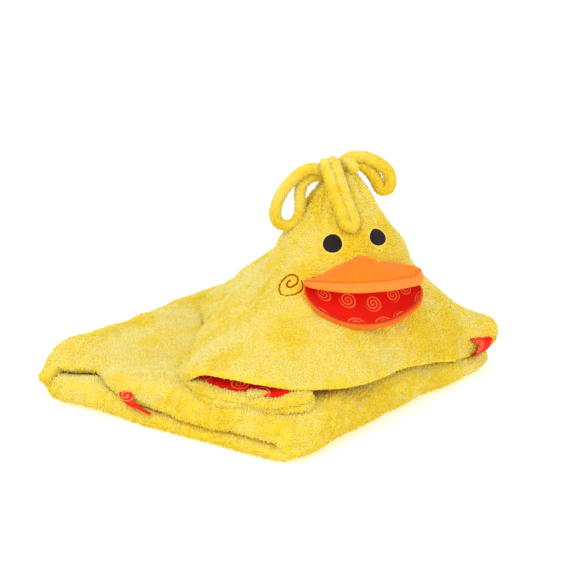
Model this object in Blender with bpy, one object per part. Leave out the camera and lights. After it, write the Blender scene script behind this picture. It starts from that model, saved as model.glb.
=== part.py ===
"""Hooded baby towel, folded into a square stack with its hood standing on top.

Metres, +Z up, the origin at the middle of the stack's underside, the face towards -Y.
The stack lies on its underside with one corner towards -Y, so its diagonals run along X and Y.
The hood is one surface, hood_point(angle, level), that every piece sewn to it follows.
"""

import math

import bmesh
import bpy
import numpy as np

# The stack: the panel gate-folded across p and half-folded along s. p runs from the left corner
# to the front corner and s from the left corner to the back corner, both in the floor's plane.
STACK_SIDE = 0.360
STACK_HEIGHT = 0.046
LEAF_THICKNESS = 0.0215
END_ROUNDING = 0.016
GATE_SEAM_P = 0.030
GATE_SEAM_WIDTH = 0.006
P_AXIS = np.array([1.0, -1.0, 0.0]) / math.sqrt(2.0)
S_AXIS = np.array([1.0, 1.0, 0.0]) / math.sqrt(2.0)

# The fold of the neck end under the left of the opening, as a soft slab on the stack
NECK_THICKNESS = 0.019
NECK_EDGE = 0.020
NECK_OUTLINE = [(-0.105, -0.118), (-0.072, -0.166), (-0.020, -0.196), (0.008, -0.190),
                (0.020, -0.150), (0.024, -0.080), (-0.010, -0.020), (-0.070, -0.030)]

# The printed strip tucked into the fold on the left side
FACING_THICKNESS = 0.0012
FACING_LENGTH = 0.105
FACING_WIDTH = 0.070
FACING_MIDDLE_P = -0.030

# The printed facings that show under the hood: on the neck fold, and at the stack's right corner
NECK_FACING_OUTLINE = [(-0.086, -0.112), (-0.060, -0.152), (-0.020, -0.178), (0.002, -0.172),
                       (0.008, -0.120), (0.000, -0.070), (-0.040, -0.060)]
CORNER_FACING_OUTLINE = [(0.150, -0.060), (0.190, -0.024), (0.214, 0.000), (0.205, 0.016),
                         (0.160, 0.020), (0.135, -0.020)]

# The hood: an upright tent around a vertical axis. Radii are given at the angles, in degrees from +X.
HOOD_AXIS = np.array([0.080, -0.005])
CROWN_HEIGHT = 0.228
CROWN_RADIUS = 0.016
RIM_RADII = {-150: 0.206, -118: 0.180, -94: 0.164, -63: 0.137, -43: 0.150, -22: 0.158, -8: 0.166,
             20: 0.148, 60: 0.138, 90: 0.160, 118: 0.184, 143: 0.166, 165: 0.154, 186: 0.170}
RIM_HEIGHTS = {-150: 0.077, -118: 0.076, -94: 0.062, -63: 0.057, -8: 0.057, 60: 0.056, 118: 0.056,
               165: 0.060, 190: 0.070}
FLARE_AT_SMALL_RIM = 1.20
FLARE_PER_METRE = 8.0
SMALL_RIM = 0.160
TERRY_THICKNESS = 0.0040
LINING_THICKNESS = 0.0012
GAP = 0.0006
LINING_GAP = 0.0012
SEAM_LEFT = -156.0
SEAM_RIGHT = -6.0
SEAM_CORD_RADIUS = 0.0016
HEM_RADIUS = 0.0026

# The face, centred on one angle of the hood
FACE_ANGLE = -82.0
EYE_RADIUS = 0.0110
EYE_HEIGHT = 0.1735
EYE_SPREAD = 0.0275
EYE_THICKNESS = 0.0018
SWIRL_HEIGHT = 0.134
SWIRL_SPREAD = 0.088
SWIRL_RADIUS = 0.0115
SWIRL_TURNS = 2.0
THREAD_RADIUS = 0.0008

# The beak: both halves are sewn to the face along the mouth and stand out from it
MOUTH_HEIGHT = 0.128
MOUTH_HALF_WIDTH = 0.070
ROOT_GAP = 0.0035
SKIN_THICKNESS = 0.0012
UPPER_REACH = 0.044
UPPER_ROOT_HEIGHT = 0.030
UPPER_TIP_HEIGHT = 0.012
LOWER_REACH = 0.044
CORNER_REACH = 0.011
LOWER_DROP = 0.026
LOWER_THICKNESS = 0.0088
LOWER_EDGE_THICKNESS = 0.0066
LOWER_ROOT_SPREAD = 2.1
MOUTH_OPENING = 0.0030
BEAK_FAN = 0.5
UP = np.array([0.0, 0.0, 1.0])

# The tuft's loops, each a soft tube: the middle line of each, root to root
LOOP_RADIUS = 0.0060
PATCH_RADIUS = 0.0150
PATCH_THICKNESS = 0.0030
LEFT_LOOP = [(0.065, -0.006, 0.240), (0.048, -0.008, 0.242), (0.030, -0.010, 0.236),
             (0.013, -0.012, 0.218), (0.005, -0.013, 0.199), (0.007, -0.014, 0.184),
             (0.016, -0.014, 0.178), (0.022, -0.012, 0.191), (0.027, -0.010, 0.206),
             (0.037, -0.008, 0.219), (0.050, -0.005, 0.227)]
FRONT_LOOP = [(0.070, -0.021, 0.240), (0.069, -0.037, 0.235), (0.069, -0.050, 0.223),
              (0.071, -0.062, 0.205), (0.075, -0.072, 0.189), (0.082, -0.077, 0.181),
              (0.089, -0.074, 0.187), (0.087, -0.064, 0.203), (0.084, -0.052, 0.223),
              (0.083, -0.038, 0.235), (0.083, -0.021, 0.240)]
RIGHT_LOOP = [(0.083, 0.002, 0.239), (0.091, 0.000, 0.247), (0.105, -0.002, 0.248),
              (0.120, -0.003, 0.242), (0.131, -0.003, 0.231), (0.134, -0.003, 0.219),
              (0.127, -0.003, 0.210), (0.118, -0.003, 0.215), (0.113, -0.002, 0.226),
              (0.106, 0.001, 0.233), (0.098, 0.003, 0.234)]

HUES = {
    "terry": ((0.93, 0.68, 0.10), 0.95),
    "print": ((0.75, 0.02, 0.01), 0.80),
    "fleece": ((0.98, 0.27, 0.02), 0.90),
    "filling": ((0.90, 0.90, 0.88), 0.95),
    "satin": ((0.03, 0.02, 0.03), 0.45),
    "thread": ((0.60, 0.10, 0.03), 0.60),
}


def clear_scene():
    for item in list(bpy.data.objects):
        bpy.data.objects.remove(item, do_unlink=True)


def cloth_material(name):
    colour, roughness = HUES[name]
    material = bpy.data.materials.get(name)
    if material is None:
        material = bpy.data.materials.new(name)
        material.use_nodes = True
        shader = material.node_tree.nodes["Principled BSDF"]
        shader.inputs["Base Color"].default_value = (*colour, 1.0)
        shader.inputs["Roughness"].default_value = roughness
        material.diffuse_color = (*colour, 1.0)
    return material


def place(name, data, hue):
    piece = bpy.data.objects.new(name, data)
    data.materials.append(cloth_material(hue))
    bpy.context.scene.collection.objects.link(piece)
    return piece


def loft(name, rings, hue):
    """A closed solid through rings of equal length, with its first and last ring filled in."""
    count = len(rings[0])
    points = [tuple(point) for ring in rings for point in ring]
    faces = [tuple(reversed(range(count)))]
    for row in range(len(rings) - 1):
        low, high = row * count, (row + 1) * count
        for k in range(count):
            after = (k + 1) % count
            faces.append((low + k, low + after, high + after, high + k))
    last = (len(rings) - 1) * count
    faces.append(tuple(range(last, last + count)))
    mesh = bpy.data.meshes.new(name)
    mesh.from_pydata(points, [], faces)
    mesh.update()
    piece = place(name, mesh, hue)
    face_outwards(piece)
    return piece


def face_outwards(piece):
    """Turn a closed mesh's faces outwards."""
    work = bmesh.new()
    work.from_mesh(piece.data)
    bmesh.ops.recalc_face_normals(work, faces=work.faces)
    if work.calc_volume(signed=True) < 0.0:
        bmesh.ops.reverse_faces(work, faces=work.faces)
    work.to_mesh(piece.data)
    work.free()


def cord(name, path, radius, hue, sides=2):
    """A round tube along a smooth path through the points."""
    curve = bpy.data.curves.new(name, "CURVE")
    curve.dimensions = "3D"
    curve.bevel_depth = radius
    curve.bevel_resolution = sides
    curve.use_fill_caps = True
    curve.resolution_u = 1
    spline = curve.splines.new("POLY")
    spline.points.add(len(path) - 1)
    for point, place_at in zip(spline.points, path):
        point.co = (*place_at, 1.0)
    return place(name, curve, hue)


def smooth_path(points, steps):
    """A Catmull-Rom line through the points, with its ends held."""
    points = np.array(points)
    padded = np.vstack([2 * points[0] - points[1], points, 2 * points[-1] - points[-2]])
    line = []
    for k in range(len(points) - 1):
        a, b, c, d = padded[k:k + 4]
        for t in np.arange(steps) / steps:
            line.append(0.5 * (2 * b + (c - a) * t + (2 * a - 5 * b + 4 * c - d) * t * t
                               + (3 * b - a - 3 * c + d) * t ** 3))
    line.append(points[-1])
    return np.array(line)


def around(table, angle):
    """A smooth value at an angle in degrees, from values given at some angles of a full turn."""
    angles = sorted(table)
    spots = [a - 360 for a in angles] + angles + [a + 360 for a in angles]
    values = [table[a] for a in angles] * 3
    angle = (angle - angles[0]) % 360 + angles[0]
    k = int(np.searchsorted(spots, angle, side="right")) - 1
    width = spots[k + 1] - spots[k]
    t = (angle - spots[k]) / width
    slope_in = (values[k + 1] - values[k - 1]) / (spots[k + 1] - spots[k - 1]) * width
    slope_out = (values[k + 2] - values[k]) / (spots[k + 2] - spots[k]) * width
    return ((2 * t ** 3 - 3 * t ** 2 + 1) * values[k] + (t ** 3 - 2 * t ** 2 + t) * slope_in
            + (3 * t ** 2 - 2 * t ** 3) * values[k + 1] + (t ** 3 - t ** 2) * slope_out)


def hood_radius(angle, level):
    rim = around(RIM_RADII, angle)
    flare = FLARE_AT_SMALL_RIM + FLARE_PER_METRE * max(rim - SMALL_RIM, 0.0)
    return CROWN_RADIUS + (rim - CROWN_RADIUS) * (1.0 - level) ** flare


def hood_point(angle, level, out=0.0, down=0.0):
    """A point of the hood: level 0 at the rim and 1 at the crown, moved out of or down along it."""
    rim = around(RIM_RADII, angle)
    rim_height = around(RIM_HEIGHTS, angle)
    flare = FLARE_AT_SMALL_RIM + FLARE_PER_METRE * max(rim - SMALL_RIM, 0.0)
    radius = hood_radius(angle, level)
    height = rim_height + (CROWN_HEIGHT - rim_height) * level
    inwards = (rim - CROWN_RADIUS) * flare * (1.0 - level) ** (flare - 1.0)
    rise = CROWN_HEIGHT - rim_height
    length = math.hypot(inwards, rise)
    radius += (out * rise + down * inwards) / length
    height += (out * inwards - down * rise) / length
    turn = math.radians(angle)
    return np.array([HOOD_AXIS[0] + radius * math.cos(turn),
                     HOOD_AXIS[1] + radius * math.sin(turn), height])


def level_at(angle, height):
    rim_height = around(RIM_HEIGHTS, angle)
    return (height - rim_height) / (CROWN_HEIGHT - rim_height)


def face_angle(across, height):
    """The angle of a point that lies a distance across the face, measured along the cloth."""
    radius = hood_radius(FACE_ANGLE, level_at(FACE_ANGLE, height))
    return FACE_ANGLE + math.degrees(across / radius)


def face_point(across, height, out=0.0):
    angle = face_angle(across, height)
    return hood_point(angle, level_at(angle, height), out)


def leaf_outline(half):
    """The folded panel's outline across p, a C that closes round both sides and meets on top."""
    edge = STACK_SIDE / 2
    low = LEAF_THICKNESS / 2
    high = STACK_HEIGHT - LEAF_THICKNESS / 2
    bend = (high - low) / 2
    middle = []
    right_end = GATE_SEAM_P + GATE_SEAM_WIDTH / 2
    left_end = GATE_SEAM_P - GATE_SEAM_WIDTH / 2
    reach = edge - LEAF_THICKNESS / 2 - bend
    for p in np.linspace(right_end, reach, 5):
        middle.append((p, high, 0.0, 1.0))
    for turn in np.linspace(90, -90, 7)[1:-1]:
        c, s = math.cos(math.radians(turn)), math.sin(math.radians(turn))
        middle.append((reach + bend * c, low + bend + bend * s, c, s))
    for p in np.linspace(reach, -reach, 9):
        middle.append((p, low, 0.0, -1.0))
    for turn in np.linspace(-90, -270, 7)[1:-1]:
        c, s = math.cos(math.radians(turn)), math.sin(math.radians(turn))
        middle.append((-reach + bend * c, low + bend + bend * s, c, s))
    for p in np.linspace(-reach, left_end, 6):
        middle.append((p, high, 0.0, 1.0))
    outer = [(p + half * a, z + half * b) for p, z, a, b in middle]
    inner = [(p - half * a, z - half * b) for p, z, a, b in middle]
    return outer + inner[::-1]


def towel_panel():
    half = LEAF_THICKNESS / 2
    edge = STACK_SIDE / 2
    rings = []
    flat = [(s, half) for s in np.linspace(-edge + END_ROUNDING, edge - END_ROUNDING, 7)]
    rounding = [20.0, 45.0, 70.0, 90.0]
    for turn in reversed(rounding):
        c, s = math.cos(math.radians(turn)), math.sin(math.radians(turn))
        rings.append((-edge + END_ROUNDING * (1 - s), half * (0.22 + 0.78 * c)))
    rings += flat
    for turn in rounding:
        c, s = math.cos(math.radians(turn)), math.sin(math.radians(turn))
        rings.append((edge - END_ROUNDING * (1 - s), half * (0.22 + 0.78 * c)))
    sections = []
    for s, thick in rings:
        sections.append([P_AXIS * p + S_AXIS * s + np.array([0.0, 0.0, z])
                         for p, z in leaf_outline(thick)])
    return loft("towel_panel", sections, "terry")


def soft_slab(name, outline, bottom, thickness, edge, hue):
    """A flat pad with its edge rounded by that much, inside a smooth closed line through the points."""
    line = smooth_path(outline + outline[:1], 4)[:-1]
    centre = line.mean(axis=0)
    rings = []
    for share, height in ((1.0, 0.0), (0.3, 0.06), (0.0, 0.35), (0.0, 0.65), (0.3, 0.94), (1.0, 1.0)):
        ring = []
        for point in line:
            inwards = centre - point
            spot = point + inwards / np.linalg.norm(inwards) * edge * share
            ring.append((spot[0], spot[1], bottom + thickness * height))
        rings.append(ring)
    return loft(name, rings, hue)


def fold_facing():
    """The printed strip between the two leaves, its long edge at the left side of the stack."""
    near = -STACK_SIDE / 2 + 0.0045
    middle = STACK_HEIGHT / 2
    rings = []
    for share in np.linspace(0.0, 1.0, 5):
        s = near + FACING_WIDTH * share
        low_p = FACING_MIDDLE_P - FACING_LENGTH / 2
        high_p = FACING_MIDDLE_P + FACING_LENGTH / 2
        half = FACING_THICKNESS / 2
        corners = ((low_p, -half), (high_p, -half), (high_p, half), (low_p, half))
        rings.append([P_AXIS * p + S_AXIS * s + np.array([0.0, 0.0, middle + z])
                      for p, z in corners])
    return loft("fold_facing", rings, "print")


def hood_layer(name, start, end, outside, inside, levels, columns, edge_gap, hue):
    """One sewn layer of the hood between two angles, as deep as outside to inside."""
    rings = []
    for share in np.linspace(0.0, 1.0, columns):
        ring = []
        for out, order in ((outside, levels), (inside, levels[::-1])):
            for level in order:
                radius = hood_radius((start + end) / 2, level)
                margin = math.degrees(edge_gap / radius)
                angle = start + margin + (end - start - 2 * margin) * share
                ring.append(hood_point(angle, level, out))
        rings.append(ring)
    return loft(name, rings, hue)


def hood_shells():
    levels = [0.0, 0.06, 0.14, 0.24, 0.36, 0.48, 0.60, 0.72, 0.82, 0.90, 0.96, 1.0]
    gap = SEAM_CORD_RADIUS + 2 * GAP
    hood_layer("hood_front_shell", SEAM_LEFT, SEAM_RIGHT, 0.0, -TERRY_THICKNESS, levels, 31, gap,
               "terry")
    hood_layer("hood_back_shell", SEAM_RIGHT, SEAM_LEFT + 360.0, 0.0, -TERRY_THICKNESS, levels, 33,
               gap, "terry")
    lining_out = -TERRY_THICKNESS - LINING_GAP
    hood_layer("hood_lining", SEAM_LEFT + 2.0, SEAM_RIGHT - 2.0, lining_out,
               lining_out - LINING_THICKNESS, levels[:-2], 31, gap, "print")


def opening_hem():
    """The rolled hem along the free front edge of the hood."""
    drop = HEM_RADIUS + 2 * GAP
    path = [hood_point(angle, 0.0, -TERRY_THICKNESS / 2, drop)
            for angle in np.linspace(SEAM_LEFT + 1.0, SEAM_RIGHT - 1.0, 40)]
    return cord("opening_hem", path, HEM_RADIUS, "terry")


def seam_cords():
    for name, angle in (("left_seam_cord", SEAM_LEFT), ("right_seam_cord", SEAM_RIGHT)):
        path = [hood_point(angle, level, -TERRY_THICKNESS / 2) for level in np.linspace(0.03, 0.99, 18)]
        cord(name, path, SEAM_CORD_RADIUS, "terry", 1)


def eye(name, side):
    """A round satin-stitched pad that follows the hood."""
    profile = ((0.35, 0.0), (1.0, 0.0), (1.0, 0.45), (0.85, 0.85), (0.45, 1.0))
    rings = []
    for share, rise in profile:
        out = 2 * GAP + EYE_THICKNESS * rise
        rings.append([face_point(side * EYE_SPREAD + EYE_RADIUS * share * math.cos(turn),
                                 EYE_HEIGHT + 0.80 * EYE_RADIUS * share * math.sin(turn), out)
                      for turn in np.linspace(0.0, 2 * math.pi, 25)[:-1]])
    return loft(name, rings, "satin")


def cheek_swirl(name, side):
    """A thread that winds in to the middle of the cheek."""
    path = []
    for turn in np.linspace(0.15, 1.0, 44):
        angle = 2 * math.pi * SWIRL_TURNS * turn
        reach = SWIRL_RADIUS * turn
        path.append(face_point(side * (SWIRL_SPREAD + reach * math.cos(angle)),
                               SWIRL_HEIGHT + 0.80 * reach * math.sin(angle),
                               THREAD_RADIUS + GAP))
    return cord(name, path, THREAD_RADIUS, "thread", 1)


def beak_root(across):
    """Where the mouth line crosses the face, and how far out the beak stands there, from 0 to 1."""
    share = across / MOUTH_HALF_WIDTH
    return math.sqrt(max(1.0 - share * share, 0.0))


def root_point(across, height):
    """A point just off the face, where a beak's section meets it."""
    angle = face_angle(across, MOUTH_HEIGHT)
    return hood_point(angle, level_at(angle, height), ROOT_GAP)


def outwards(across):
    """The way the beak stands out: the face's own direction, fanned by half towards its corners."""
    turn = math.radians(face_angle(BEAK_FAN * across, MOUTH_HEIGHT))
    return np.array([math.cos(turn), math.sin(turn), 0.0])


def upper_section(across):
    """The upper beak's outline at a place across it: along the top, round the tip and back below."""
    size = beak_root(across)
    ahead = outwards(across)
    foot = MOUTH_HEIGHT + MOUTH_OPENING
    arch = 0.006 + (UPPER_ROOT_HEIGHT - 0.006) * size
    reach = CORNER_REACH + (UPPER_REACH - CORNER_REACH) * size
    top = root_point(across, foot + arch)
    bottom = root_point(across, foot)
    tip = bottom + ahead * reach + UP * (0.001 + 0.5 * UPPER_TIP_HEIGHT * size)
    half_tip = 0.0022 + 0.5 * (UPPER_TIP_HEIGHT - 0.0044) * size
    line = [top + (tip + UP * half_tip - top) * share
            + UP * 0.006 * size * math.sin(math.pi * share) for share in (0.0, 0.2, 0.45, 0.7, 0.9)]
    for turn in (60.0, 25.0, -10.0, -45.0, -80.0):
        c, s = math.cos(math.radians(turn)), math.sin(math.radians(turn))
        line.append(tip + ahead * half_tip * (c - 0.4) + UP * half_tip * s)
    line += [line[-1] + (bottom - line[-1]) * share for share in (0.25, 0.6, 1.0)]
    return np.array(line)


def lower_section(across):
    """The lower beak's outline: along the underside, round the tip and back along the top."""
    size = beak_root(across)
    ahead = outwards(across)
    head = MOUTH_HEIGHT - MOUTH_OPENING
    thick = LOWER_EDGE_THICKNESS + (LOWER_THICKNESS - LOWER_EDGE_THICKNESS) * size
    reach = CORNER_REACH + (LOWER_REACH - CORNER_REACH) * size
    drop = LOWER_DROP * size
    top = root_point(across, head)
    bottom = root_point(across, head - thick * LOWER_ROOT_SPREAD)
    tip = top + ahead * reach - UP * (drop + thick / 2)
    along = ahead * reach - UP * drop
    along = along / np.linalg.norm(along)
    square = np.array([-along[2] * ahead[0], -along[2] * ahead[1],
                       along @ ahead])
    start = tip - square * thick / 2
    line = [bottom + (start - bottom) * share for share in (0.0, 0.25, 0.5, 0.75, 0.95)]
    for turn in (-60.0, -25.0, 10.0, 45.0, 80.0):
        c, s = math.cos(math.radians(turn)), math.sin(math.radians(turn))
        line.append(tip + along * thick / 2 * (c - 0.4) + square * thick / 2 * s)
    line += [line[-1] + (top - line[-1]) * share for share in (0.25, 0.6, 1.0)]
    return np.array(line)


def inset_line(line, distance, ahead):
    """The line moved into its section, which lies below an upper half's top or over a lower's."""
    side = np.cross(np.gradient(line, axis=0), np.cross(ahead, UP))
    side /= np.linalg.norm(side, axis=1)[:, None]
    chord = line[-1] - line[0]
    if chord @ UP > 0.0:
        side = -side
    return line + side * distance


def band(section, first, last, outside, inside, places, name, hue):
    """A layer of the beak: the section's stretch from first to last, between two depths."""
    rings = []
    for across in places:
        line = section(across)
        outer = inset_line(line, outside, outwards(across))[first:last]
        inner = inset_line(line, inside, outwards(across))[first:last]
        rings.append(list(outer) + list(inner[::-1]))
    return loft(name, rings, hue)


def core(section, depth, places, name, hue):
    """The filling of the beak: the section shrunk by the layers around it, its tip cut square."""
    rings = []
    for across in places:
        line = inset_line(section(across), depth, outwards(across))
        rings.append(list(line[:4]) + list(line[-3:]))
    return loft(name, rings, hue)


def beak_pieces(label, section, stitch_row):
    places = MOUTH_HALF_WIDTH * np.sin(np.linspace(-1.0, 1.0, 23) * math.radians(80.0))
    inner = places[2:-2] * 0.96
    band(section, 0, 10, 0.0, SKIN_THICKNESS, places, label + "_skin", "fleece")
    band(section, 9, 13, SKIN_THICKNESS + GAP, SKIN_THICKNESS + GAP + LINING_THICKNESS / 2, inner,
         label + "_lining", "print")
    core(section, SKIN_THICKNESS + 2 * GAP + LINING_THICKNESS / 2, inner * 0.95,
         label + "_padding", "filling")
    path = [inset_line(section(across), -THREAD_RADIUS - GAP, outwards(across))[stitch_row]
            for across in inner[2:-2]]
    cord(label + "_topstitch", path, THREAD_RADIUS, "thread", 1)


def tuft():
    work = bmesh.new()
    bmesh.ops.create_cone(work, cap_ends=True, segments=28, radius1=PATCH_RADIUS,
                          radius2=PATCH_RADIUS * 0.85, depth=PATCH_THICKNESS)
    mesh = bpy.data.meshes.new("tuft_patch")
    work.to_mesh(mesh)
    work.free()
    patch = place("tuft_patch", mesh, "terry")
    patch.location = (HOOD_AXIS[0], HOOD_AXIS[1], CROWN_HEIGHT + GAP + PATCH_THICKNESS / 2)
    for name, points in (("left_tuft_loop", LEFT_LOOP), ("front_tuft_loop", FRONT_LOOP),
                         ("right_tuft_loop", RIGHT_LOOP)):
        cord(name, smooth_path(points, 3), LOOP_RADIUS, "terry")


def main():
    clear_scene()
    towel_panel()
    neck_top = STACK_HEIGHT + GAP + NECK_THICKNESS
    soft_slab("neck_fold", NECK_OUTLINE, STACK_HEIGHT + GAP, NECK_THICKNESS, NECK_EDGE, "terry")
    soft_slab("neck_facing", NECK_FACING_OUTLINE, neck_top + GAP, FACING_THICKNESS, 0.0, "print")
    soft_slab("corner_facing", CORNER_FACING_OUTLINE, STACK_HEIGHT + GAP, FACING_THICKNESS, 0.0, "print")
    fold_facing()
    hood_shells()
    opening_hem()
    seam_cords()
    for word, side in (("left", -1), ("right", 1)):
        eye(word + "_eye", side)
        cheek_swirl(word + "_cheek_swirl", side)
    beak_pieces("upper_beak", upper_section, 3)
    beak_pieces("lower_beak", lower_section, 3)
    tuft()


main()
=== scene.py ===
"""Looks of the hooded baby towel: terry stack, printed linings, padded beak and looped tuft."""

import math

import bmesh
import bpy
import numpy as np
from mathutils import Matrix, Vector
from mathutils.bvhtree import BVHTree

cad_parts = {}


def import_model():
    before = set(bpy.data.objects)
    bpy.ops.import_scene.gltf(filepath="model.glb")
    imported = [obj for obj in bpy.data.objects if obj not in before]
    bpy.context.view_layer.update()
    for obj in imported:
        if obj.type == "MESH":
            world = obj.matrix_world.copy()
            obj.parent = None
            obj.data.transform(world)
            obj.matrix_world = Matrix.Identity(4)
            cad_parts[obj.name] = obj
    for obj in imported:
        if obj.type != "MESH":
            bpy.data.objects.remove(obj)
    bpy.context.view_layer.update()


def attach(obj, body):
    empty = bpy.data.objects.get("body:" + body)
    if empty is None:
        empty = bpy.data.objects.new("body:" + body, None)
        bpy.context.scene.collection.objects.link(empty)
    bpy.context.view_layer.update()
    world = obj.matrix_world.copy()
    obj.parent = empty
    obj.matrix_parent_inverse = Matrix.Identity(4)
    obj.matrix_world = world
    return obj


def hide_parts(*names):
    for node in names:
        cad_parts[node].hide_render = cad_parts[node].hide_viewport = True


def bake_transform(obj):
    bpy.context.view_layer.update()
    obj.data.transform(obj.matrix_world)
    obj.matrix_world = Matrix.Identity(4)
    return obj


# ---------------- sizes, in metres and degrees

# The folded stack: p runs along its left-front side, s runs from that side to the back
P_AXIS = np.array([1.0, -1.0]) / math.sqrt(2.0)
S_AXIS = np.array([1.0, 1.0]) / math.sqrt(2.0)
UP = np.array([0.0, 0.0, 1.0])
HALF_SIDE = 0.180
STACK_HEIGHT = 0.046
# The terry's thickness with its loops, the pace of its grid and half of the panel's width
CLOTH = 0.0068
GRID_STEP = 0.0036
HALF_WIDTH = 0.3600
# The gate fold: heights of its two leaves, how far they reach flat, the radius they turn about, and
# the place of the seam where the gate's edges meet
LEAF_LOW = 0.01075
LEAF_HIGH = 0.03525
LEAF_REACH = 0.1572
FOLD_RADIUS = 0.01225
GATE_SEAM = 0.030
HALF_FOLD_RADIUS = 0.00725

# The hood: a tent about an upright line, its rim given by direction
HOOD_AXIS = np.array([0.080, -0.005])
CROWN_HEIGHT = 0.231
CROWN_RADIUS = 0.0135
CONE_SLOPE = 0.665
# How much the tent widens for each metre down, and how tightly its foot spreads, by direction
SIDE_SLOPE = {-150: 0.675, -100: 0.665, -60: 0.660, -10: 0.648, 40: 0.650, 90: 0.660, 170: 0.685}
SPREAD_POWER = {-125: 4.0, -60: 4.2, -25: 6.0, 0: 9.0, 60: 5.0, 107: 4.0, 160: 3.5, 200: 3.8}
CAP_RISE = 0.0050
# Thickness of each cloth, and how far the lining lies inside the terry
HOOD_CLOTH = 0.0050
LINING_INSET = 0.0042
LINING_CLOTH = 0.0016
FACING_CLOTH = 0.0014
NECK_CLOTH = 0.0048
# Distance of the rim from the hood's upright line, and its height
RIM_RADIUS = {-174: .156, -160: .178, -150: .198, -143: .219, -137: .227, -131: .230, -122: .225,
              -113: .216, -99: .189, -86: .153, -63: .122, -45: .117, -24: .122, -8: .143, -3: .160,
              3: .168, 10: .161, 20: .140, 45: .124, 60: .130, 90: .168, 107: .212, 118: .200, 143: .168,
              165: .148}
RIM_HEIGHT = {-174: .068, -160: .069, -150: .068, -143: .070, -137: .0745, -131: .0765, -122: .0750,
              -113: .0680, -99: .0628, -86: .0575, -63: .0515, -45: .044, -24: .037, -10: .040, -3: .050,
              3: .0555, 10: .054, 20: .045, 45: .040, 60: .043, 90: .052, 107: .058, 118: .061, 143: .063,
              165: .065}
# How far the rim's cloth rolls under, in degrees, and the radius of that roll
RIM_TURN = {-174: 170, -154: 178, -149: 160, -144: 95, -139: 56, -122: 50, -99: 50, -63: 50, -24: 55,
            -13: 80, -4: 84, 3: 74, 20: 60, 60: 50, 107: 40, 143: 60, 165: 120}
RIM_ROLL = {-174: .011, -150: .012, -142: .010, -136: .008, -99: .007, -24: .007, -13: .012, -4: .0140,
            3: .0122, 20: .008, 107: .006, 165: .009}
# Directions of the two side seams
SEAM_LEFT = -156.0
SEAM_RIGHT = -2.0


# ---------------- small numeric helpers

def ease(values):
    """0 below 0, 1 above 1 and smooth between."""
    clipped = np.clip(values, 0.0, 1.0)
    return clipped * clipped * (3.0 - 2.0 * clipped)


def bump(values, centre, width, power=2):
    """1 at the centre, falling smoothly to 0 within about two widths of it."""
    return np.exp(-((values - centre) / width) ** power)


def rolling(points, seed, size, count=24):
    """Smooth unevenness of about -1 to 1, with swells about that size across."""
    rng = np.random.default_rng(seed)
    directions = rng.normal(size=(count, 3))
    directions /= np.linalg.norm(directions, axis=1)[:, None]
    paces = 2.0 * math.pi / size * rng.uniform(0.6, 1.4, count)
    phases = rng.uniform(0.0, 2.0 * math.pi, count)
    flat = np.asarray(points, float).reshape(-1, 3)
    total = np.sin(flat @ (directions * paces[:, None]).T + phases).sum(axis=1)
    return (total / math.sqrt(count)).reshape(np.shape(points)[:-1])


def around(table, angles):
    """Smooth value from a table by direction in degrees, which closes on itself."""
    keys = np.array(sorted(table), float)
    values = np.array([table[key] for key in sorted(table)], float)
    keys = np.concatenate([keys - 360.0, keys, keys + 360.0])
    values = np.tile(values, 3)
    slopes = np.gradient(values, keys)
    turned = (np.asarray(angles, float) + 180.0) % 360.0 - 180.0
    i = np.clip(np.searchsorted(keys, turned) - 1, 0, len(keys) - 2)
    gap = keys[i + 1] - keys[i]
    t = (turned - keys[i]) / gap
    return ((2 * t**3 - 3 * t**2 + 1) * values[i] + (t**3 - 2 * t**2 + t) * gap * slopes[i]
            + (3 * t**2 - 2 * t**3) * values[i + 1] + (t**3 - t**2) * gap * slopes[i + 1])


def spaced(start, end, step, nose):
    """Values from start to end with a few close ones at each end, where the cloth's edge is rounded."""
    ends = nose * np.array([0.0, 0.12, 0.38, 0.68, 1.0])
    middle = np.linspace(start + nose, end - nose, max(2, int(round((end - start) / step))))
    return np.concatenate([start + ends[:-1], middle, end - ends[-2::-1]])


def smooth_line(points, count):
    """A smooth line through the points, evenly spaced."""
    knots = np.array(points, float)
    n = len(knots)
    found = []
    for i in range(n - 1):
        b, c = knots[i], knots[i + 1]
        a = knots[i - 1] if i > 0 else 2 * b - c
        d = knots[i + 2] if i + 2 < n else 2 * c - b
        for t in np.linspace(0.0, 1.0, 24, endpoint=False):
            found.append(0.5 * (2 * b + (c - a) * t + (2 * a - 5 * b + 4 * c - d) * t**2
                                + (3 * b - a - 3 * c + d) * t**3))
    found.append(knots[-1])
    found = np.array(found)
    lengths = run_of(found)
    places = np.linspace(0.0, lengths[-1], count)
    return np.stack([np.interp(places, lengths, found[:, k]) for k in range(found.shape[1])], axis=1)


def grid_normals(points):
    """Unit normals of a grid of points."""
    normals = np.cross(np.gradient(points, axis=1), np.gradient(points, axis=0))
    return normals / np.maximum(np.linalg.norm(normals, axis=2), 1e-12)[:, :, None]


def run_of(line):
    """Length along a line of points, from its start to each point."""
    return np.concatenate([[0.0], np.cumsum(np.linalg.norm(np.diff(line, axis=0), axis=1))])


# ---------------- meshes

def read(items, name, width, kind=np.float32):
    """One property of a mesh's points, corners or triangles, as rows of that many numbers."""
    values = np.zeros(len(items) * width, kind)
    items.foreach_get(name, values)
    return values.reshape(-1, width)


def new_mesh(name, points, faces, uv, *materials):
    """A smooth-shaded mesh with its cloth laid out in metres as its texture coordinates."""
    mesh = bpy.data.meshes.new(name)
    mesh.from_pydata(np.asarray(points, float).tolist(), [], [list(face) for face in faces])
    layer = mesh.uv_layers.new(name="cloth")
    corners = read(mesh.loops, "vertex_index", 1, np.int32)
    layer.data.foreach_set("uv", np.asarray(uv, np.float32)[corners].reshape(-1))
    mesh.polygons.foreach_set("use_smooth", np.ones(len(mesh.polygons), bool))
    for material in materials:
        mesh.materials.append(material)
    mesh.update()
    piece = bpy.data.objects.new(name, mesh)
    bpy.context.scene.collection.objects.link(piece)
    return piece


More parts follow.
